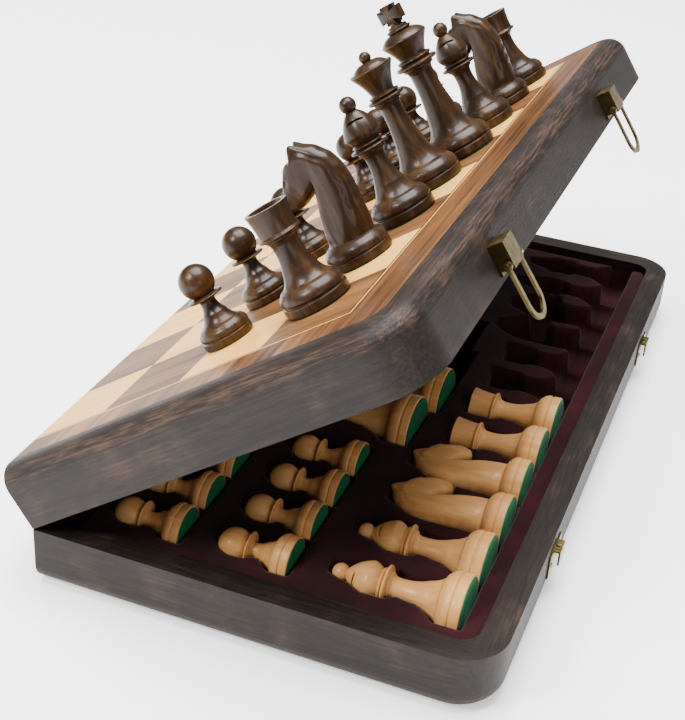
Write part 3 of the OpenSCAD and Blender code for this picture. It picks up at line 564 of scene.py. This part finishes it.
def knight_loft(rings=120, segments=80):
    """Rings carried along the spine by Catmull-Rom blending. Each ring is a squared ellipse with its sides
    pressed flat; the outer side narrows to the mane, and bell-shaped rises and dips along and around the
    spine carve the ears, brow, eyes, nostrils, mouth and the edge of the mane."""
    last = len(knight_spine) - 1
    t = np.linspace(0, last, rings)
    i = np.minimum(t.astype(int), last - 1)
    f = (t - i)[:, None]
    a, b, c, d = (knight_spine[np.clip(i + k, 0, last)] for k in (-1, 0, 1, 2))
    s = 0.5 * (2 * b + f * (c - a) + f ** 2 * (2 * a - 5 * b + 4 * c - d) + f ** 3 * (3 * b - a - 3 * c + d))
    forward, up, deep, wide, tilt = (s[:, k, None] for k in range(5))
    tilt = np.radians(tilt)
    turn = np.linspace(0, 2 * np.pi, segments, endpoint=False)[None]
    t = t[:, None]
    flat = 2.0 + 2.2 * np.clip((t - 0.3) / 1.5, 0, 1)
    u = np.sign(np.cos(turn)) * np.abs(np.cos(turn)) ** (2 / flat)
    w = np.sign(np.sin(turn)) * np.abs(np.sin(turn)) ** (2 / flat)
    around = np.abs((turn + np.pi) % (2 * np.pi) - np.pi)

    def bell(at, spread, angle, width):
        """1 at a place along the spine and around the ring, on both sides, fading to nothing."""
        return np.exp(-((t - at) / spread) ** 2 - ((around - math.radians(angle)) / math.radians(width)) ** 2)

    neck = np.clip((t - 0.5) / 1.0, 0, 1) * np.clip((6.6 - t) / 0.5, 0, 1)
    crest = np.exp(-(around / math.radians(34)) ** 2)
    w = w * (1 - 0.45 * neck * np.clip(1 - around / math.radians(75), 0, 1))
    wave = 0.5 + 0.5 * np.cos(2 * np.pi * t * 1.35)
    u = u * (1 + 0.05 * crest * neck * wave)
    w = w * (1 - 0.07 * neck * np.exp(-((around - np.radians(62 + 6 * np.sin(t * 4))) / math.radians(9)) ** 2))
    # Ears, the dip before them and the notch between them, then the brow and the dip of the nose.
    lift = (0.046 * bell(6.15, 0.28, 30, 19) - 0.030 * bell(6.62, 0.20, 0, 50) - 0.02 * bell(6.15, 0.25, 0, 13)
            + 0.012 * bell(7.3, 0.35, 0, 45) - 0.010 * bell(9.2, 0.6, 0, 40))
    u = u + lift / deep
    # Eyes with the ridge over them, nostrils, the groove of the mouth, and the jaw.
    mouth_turn = np.radians(118 - 6 * (t - 9.5))
    mouth = np.exp(-((t - 10.2) / 0.7) ** 2 - ((around - mouth_turn) / math.radians(7)) ** 2)
    w = w * (1 - 0.20 * bell(8.0, 0.28, 60, 12) + 0.10 * bell(7.7, 0.22, 52, 10) - 0.20 * bell(10.5, 0.3, 55, 16)
             - 0.28 * mouth + 0.10 * bell(7.6, 0.9, 118, 28))
    x = forward - deep * u * np.cos(tilt)
    z = up + deep * u * np.sin(tilt)
    return knight[1] * np.stack([x, wide * w + 0 * x, z], -1)


def kings_cross():
    """The cross paty as a slab: four flared arms round a square heart, its outline a closed polygon. It has its
    full thickness out to 0.82 of the outline and rounds off to half of it at the rim."""
    high = 0.12 * king[1]
    arm, waist, span = 0.35 * high, 0.22 * high, 0.66 * high
    outline = np.array([(waist, waist), (arm, 0.5 * high), (-arm, 0.5 * high), (-waist, waist), (-span, arm),
                        (-span, -arm), (-waist, -waist), (-arm, -0.5 * high), (arm, -0.5 * high),
                        (waist, -waist), (span, -arm), (span, arm)])
    rings = [(0.0, -0.5), (0.82, -0.5), (0.93, -0.43), (1.0, -0.25), (1.0, 0.25), (0.93, 0.43), (0.82, 0.5), (0, 0.5)]
    thick = 0.36 * king[0]
    return np.array([[(x * k, thick * y, z * k + king[1] - high / 2) for x, z in outline] for k, y in rings])


def polished_man(name, kind, place, body):
    """One man with its felt, standing for its CAD node. place carries points from upright to where it is."""
    size, stations = turned_shapes[kind]
    if kind == "bishop":
        parts = [bishop_slot(lathe(eased_profile(size, stations, slot_run), 96))]
    else:
        parts = [lathe(eased_profile(size, stations, longest_run), 64)]
    if kind == "knight":
        parts.append(knight_loft())
    if kind == "king":
        parts.append(kings_cross())
    verts, faces = [], []
    for part in parts:
        start = sum(len(v) for v in verts)
        faces += [[start + k for k in face] for face in closed_rings(part)]
        verts.append(place(part).reshape(-1, 3))
    man = piece(name + "_turned", np.concatenate(verts), faces)
    man.data.set_sharp_from_angle(angle=math.radians(40))
    disc = np.array([(0.0, 0.0), (0.6, 0.0), (0.97, 0.0), (1.0, 0.2), (1.0, 1.05), (0.6, 1.05), (0, 1.05)])
    disc = disc * (size[0] - felt_in, felt_thick)
    felt = lathe(disc, 64)
    cloth = piece(name + "_felt", place(felt), closed_rings(felt))
    for obj in (man, cloth):
        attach(obj, body)
    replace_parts(man, name)
    return man, cloth


officer_along = [0.009, 0.010, 0.012, 0.014, 0.014, 0.015, 0.014, 0.010]
officer_back = [0.0065, 0.004, -0.001, 0.002, -0.001, -0.002, 0, 0]
pawn_along = [0.010, 0.010, 0.014, 0.012, 0.010, 0.008, 0.008, 0.006]
pawn_back = [0.0115, 0.012, 0.009, 0.008, 0.008, 0.008, 0.008, 0.008]
dark_officers = [("rook_near", "rook", 0), ("knight_near", "knight", 90), ("bishop_near", "bishop", 200),
                 ("queen", "queen", 0), ("king", "king", 75), ("bishop_far", "bishop", 200),
                 ("knight_far", "knight", 90), ("rook_far", "rook", 0)]
dark_pieces, light_pieces, felts = [], [], []
for file, (title, kind, spin) in enumerate(dark_officers):
    man, cloth = polished_man("dark_" + title, kind, lambda p: stand_on_lid(
        p, file, 3, officer_along[file], officer_back[file], math.radians(spin)), "dark_" + title)
    dark_pieces.append(man)
    felts.append(cloth)
for file in range(8):
    man, cloth = polished_man("dark_pawn_%d" % (file + 1), "pawn", lambda p: stand_on_lid(
        p, file, 2, pawn_along[file], pawn_back[file], 0.0), "dark_pawn_%d" % (file + 1))
    dark_pieces.append(man)
    felts.append(cloth)
lying = [("bishop_1", "bishop", officer_at[0], front_row, 200), ("bishop_2", "bishop", officer_at[1], front_row, 250),
         ("knight_1", "knight", officer_at[2], front_row, 0), ("knight_2", "knight", officer_at[3], front_row, 0),
         ("rook_1", "rook", officer_at[4], front_row, 0), ("rook_2", "rook", officer_at[5], front_row, 0),
         ("king", "king", royal_at[0], king_row, 0), ("queen", "queen", royal_at[1], queen_row, 0)]
lying += [("pawn_%d" % (4 * row + n + 1), "pawn", pawn_at[n], pawn_rows[row], 0) for row in (0, 1) for n in range(4)]
for title, kind, x, from_front, spin in lying:
    man, cloth = polished_man("light_" + title, kind, lambda p: lie_in_tray(
        p, x, from_front, math.radians(spin)), "light_" + title)
    light_pieces.append(man)
    felts.append(cloth)


def turned_wood(name, axis, turn, pale, mid, deep, ring=1.0):
    """Long streaks of figure along the man's axis, fine pores over them, and a polished coat."""
    material, start, shader = finish(name, Specular_IOR_Level=0.2, Coat_Weight=0.12, Coat_Roughness=0.1)
    grain = along_grain(start, axis, turn, 7.0)
    line = start.node("TexNoise", None, {"Vector": grain, "Scale": 520.0, "Detail": 6.0, "Roughness": 0.6})
    figure = start.node("TexNoise", None, {"Vector": grain, "Scale": 95.0, "Detail": 3.0, "Distortion": 1.5})
    tone = line.clamp(0.3, 0.75) * (0.45 * ring) + figure.clamp(0.3, 0.7) * (0.55 * ring)
    wire(shader, start, Base_Color=tone.ramp((0.05, pale), (0.5, mid), (1.0, deep)),
         Roughness=line * 0.2 + 0.27,
         Normal=start.node("Bump", None, {"Height": line, "Strength": 0.08, "Distance": 0.0003}))
    return material


dark_wood = turned_wood("polished_walnut", 2, lid_turn, (0.064, 0.029, 0.0074), (0.021, 0.0090, 0.0024),
                        (0.0036, 0.0015, 0.0006))
light_wood = turned_wood("polished_boxwood", 1, 0.0, (0.72, 0.39, 0.145), (0.60, 0.295, 0.098),
                         (0.41, 0.175, 0.050), 0.8)
for group, wood in ((dark_pieces, dark_wood), (light_pieces, light_wood)):
    for man in group:
        man.data.materials.append(wood)
green, start, shader = finish("green_felt", Roughness=0.95, Specular_IOR_Level=0.1, Sheen_Weight=0.05)
pile = start.node("TexNoise", None, {"Vector": start.node("TexCoord", out=3), "Scale": 1800.0, "Detail": 4.0})
wire(shader, start, Base_Color=pile.ramp((0.3, (0.0, 0.060, 0.020)), (0.7, (0.001, 0.16, 0.055))),
     Normal=start.node("Bump", None, {"Height": pile, "Strength": 0.5, "Distance": 0.0003}))
for cloth in felts:
    cloth.data.materials.append(green)
